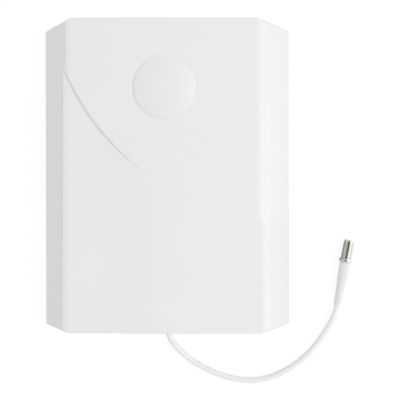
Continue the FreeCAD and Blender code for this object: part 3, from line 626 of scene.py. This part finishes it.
# Jack. A television screw jack turned from brass and nickel plated: a collar, a 3/8-32 thread and a
# short plain lead, with a white insulator and a sprung brass contact in its mouth.
cable_hole_radius = 3.7 * mm
collar_radius = 5.6 * mm
collar_length = 2.4 * mm
thread_crest = 4.75 * mm
thread_root = 4.3 * mm
thread_pitch = 0.794 * mm
thread_length = 14.9 * mm
lead_radius = 4.2 * mm
lead_length = 1.7 * mm
bore_radius = 3.5 * mm
back_wall = 3.0 * mm
collar_chamfer = 0.6 * mm
mouth_chamfer = 0.6 * mm
mouth_edge = 0.05 * mm
overlap = 0.1 * mm
thread_end = collar_length + thread_length
mouth = thread_end + lead_length
jack_shape = [(0, cable_hole_radius), (0, collar_radius - collar_chamfer), (collar_chamfer, collar_radius),
              (collar_length - collar_chamfer, collar_radius),
              (collar_length, collar_radius - collar_chamfer), (collar_length, lead_radius),
              (mouth - mouth_chamfer, lead_radius), (mouth, lead_radius - mouth_chamfer),
              (mouth, bore_radius + mouth_edge), (mouth - mouth_edge, bore_radius), (back_wall, bore_radius)]
jack_core = turn("jack_core", jack_shape, jack_base, jack_heading)
jack_thread = helix("jack_thread", thread_root, thread_crest, thread_pitch, collar_length - overlap,
                    thread_end, steps=64)
hollow = turn("thread_bore", [(0, lead_radius - overlap), (mouth, lead_radius - overlap)],
              (0, 0, 0), (0, 0, 1), sides=64)
cut_away(jack_thread, hollow)
to_jack = Matrix.Translation(jack_base) @ jack_heading.to_track_quat("Z", "Y").to_matrix().to_4x4()
jack_thread.data.transform(to_jack)
jack = joined("threaded_jack", [jack_core, jack_thread])
shade(jack, crease_degrees=30)
nickel_plate = mottled("bright_nickel_plate", "#DBDACF", "#E5E4DA", 1.5, 0.25, (0.1, 0.2), depth=0.005,
                       metallic=1.0)
dress(jack, nickel_plate)
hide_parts("jack_body")
finish(["crimp_ferrule"], nickel_plate)
finish(["jack_insulator"], foamed_pe)
finish(["jack_contact"], turned_brass)


# Light, table and camera. A white table under a wide soft light from the right, in a white room. Nothing
# mirrors the lamp. Metal mirrors the room, dark overhead, paler to the left and brightest at a window to
# the right, and painted bands across the table: in reflections only, the table glows as painted lit paper,
# with a painted shadow left of the jack and painted brighter light right of it.
table_width = 6.0
paper_white = 1.06
paper_glow_share = 0.8
sky_level = 0.76
lamp_side = math.radians(-5)
lamp_height = math.radians(49)
lamp_distance = 2.4
lamp_width = 1.1
lamp_watts = 17.45
lamp_aim = Vector((0, 0, 0.03))
# A band of the room is (degrees from overhead to the right, level), and one of the table's painted reflection
# is (mm across it, level). The room's near and far ends take over from its bands from end_start to end_full.
room_bands = [(-90, 0.35), (-76, 0.5), (-54, 0.83), (-34, 0.55), (-14, 0.15), (5, 0.025), (16, 1.12),
              (29, 1.88), (58, 1.62), (85, 1.05)]
# Painted reflection of the table: painted lit paper, a painted shadow left of the jack and painted brighter
# light right of it.
painted_reflection_bands = [(90, 0.85), (100, 0.46), (150, 0.4), (170, 1.2)]
window_tint = (1.02, 1.0, 1.15)
near_end_level = 0.2
far_end_level = 1.1
end_reach = 0.9
end_start = 0.6
end_full = 0.95


def banded(owner, value, bands):
    """A level that changes with a value, through bands of (value, level). Above 1 it has the window's
    cool tint."""
    first, last = bands[0][0], bands[-1][0]
    spread = add_node(owner, "MapRange", {"Value": value, "From Min": first, "From Max": last})
    ramp = add_node(owner, "ValToRGB", {0: (spread, 0)})
    while len(ramp.color_ramp.elements) < len(bands):
        ramp.color_ramp.elements.new(0.5)
    for band, (at, level) in zip(ramp.color_ramp.elements, bands):
        band.position = (at - first) / (last - first)
        tint = window_tint if level > 1 else (1, 1, 1)
        band.color = (*[level * share for share in tint], 1)
    return ramp


world = bpy.data.worlds.new("white_room")
bpy.context.scene.world = world
world.use_nodes = True
room_path = add_node(world, "LightPath")
room_place = add_node(world, "TexCoord")
room_way = add_node(world, "SeparateXYZ", {0: (room_place, "Generated")})
room_turn = add_node(world, "Math", {0: (room_way, 0), 1: (room_way, 2)}, operation="ARCTAN2")
room_ramp = banded(world, (room_turn, 0), [(math.radians(way), level) for way, level in room_bands])
room_end = add_node(world, "Math", {0: (room_way, 1)}, operation="ABSOLUTE")
room_ends = add_node(world, "MapRange", {"Value": (room_end, 0), "From Min": end_start,
                                         "From Max": end_full})
room_end_level = add_node(world, "MapRange", {"Value": (room_way, 1), "From Min": -end_reach,
                                              "From Max": end_reach, "To Min": near_end_level,
                                              "To Max": far_end_level})
room_dark = add_node(world, "Mix", {0: (room_ends, 0), 6: (room_ramp, 0), 7: (room_end_level, 0)},
                     data_type="RGBA")
room_seen = add_node(world, "Mix", {0: (room_path, "Is Glossy Ray"), 7: (room_dark, 2),
                                    6: (sky_level, sky_level, sky_level, 1)}, data_type="RGBA")
room_level = add_node(world, "Mix", {0: (room_path, "Is Camera Ray"), 6: (room_seen, 2), 7: (1, 1, 1, 1)},
                      data_type="RGBA")
world.node_tree.links.new(room_level.outputs[2], world.node_tree.nodes["Background"].inputs["Color"])

lamp_data = bpy.data.lights.new("soft_light", "AREA")
lamp_data.shape = "SQUARE"
lamp_data.size = lamp_width
lamp_data.energy = lamp_watts
lamp = placed("soft_light", lamp_data)
lamp_way = Vector((math.cos(lamp_side) * math.cos(lamp_height), math.sin(lamp_side) * math.cos(lamp_height),
                   math.sin(lamp_height)))
lamp.location = lamp_aim + lamp_way * lamp_distance
lamp.rotation_euler = lamp_way.to_track_quat("Z", "Y").to_euler()
lamp.visible_glossy = False

bpy.ops.object.select_all(action="DESELECT")
bpy.ops.mesh.primitive_plane_add(size=table_width, location=(0, 0, 0))
table = bpy.context.active_object
table.name = "table"
table_white = mottled("white_paper", "#F1F1F1", "#F5F5F5", 3, 0.5, (0.85, 0.95))
paper_shader = table_white.node_tree.nodes["Principled BSDF"]
paper_path = add_node(table_white, "LightPath")
paper_place = add_node(table_white, "TexCoord")
paper_across = add_node(table_white, "SeparateXYZ", {0: (paper_place, "Object")})
# In reflections the table glows with painted light and a painted shadow beside the jack, instead of its own
# shading.
paper_painted_reflection = banded(table_white, (paper_across, 0), [(at * mm, level) for at, level in painted_reflection_bands])
paper_level = add_node(table_white, "Mix", {0: (paper_path, "Is Glossy Ray"), 7: (paper_painted_reflection, 0),
                                            6: (paper_white, paper_white, paper_white, 1)},
                       data_type="RGBA")
paper_share = add_node(table_white, "Math", {0: (paper_path, "Is Camera Ray"), 1: paper_glow_share,
                                             2: (paper_path, "Is Glossy Ray")}, operation="MULTIPLY_ADD")
paper_glow = add_node(table_white, "Emission", {"Color": (paper_level, 2)})
paper_mix = add_node(table_white, "MixShader", {0: (paper_share, 0), 1: (paper_shader, 0),
                                                2: (paper_glow, 0)})
table_white.node_tree.links.new(paper_mix.outputs[0],
                                table_white.node_tree.nodes["Material Output"].inputs["Surface"])
table.data.materials.append(table_white)

camera_place = Vector((28.27, -19.62, 531.8)) * mm
camera_roll = math.radians(-0.14)
front_distance = 481.8
front_width = 320.65
sensor_width = 36.0

camera_data = bpy.data.cameras.new("camera")
camera_data.sensor_width = sensor_width
camera_data.lens = sensor_width * front_distance / front_width
camera = placed("camera", camera_data)
camera.location = camera_place
camera.rotation_euler = (0, 0, camera_roll)
bpy.context.scene.camera = camera
bpy.context.scene.view_settings.view_transform = "Standard"

bpy.context.view_layer.update()
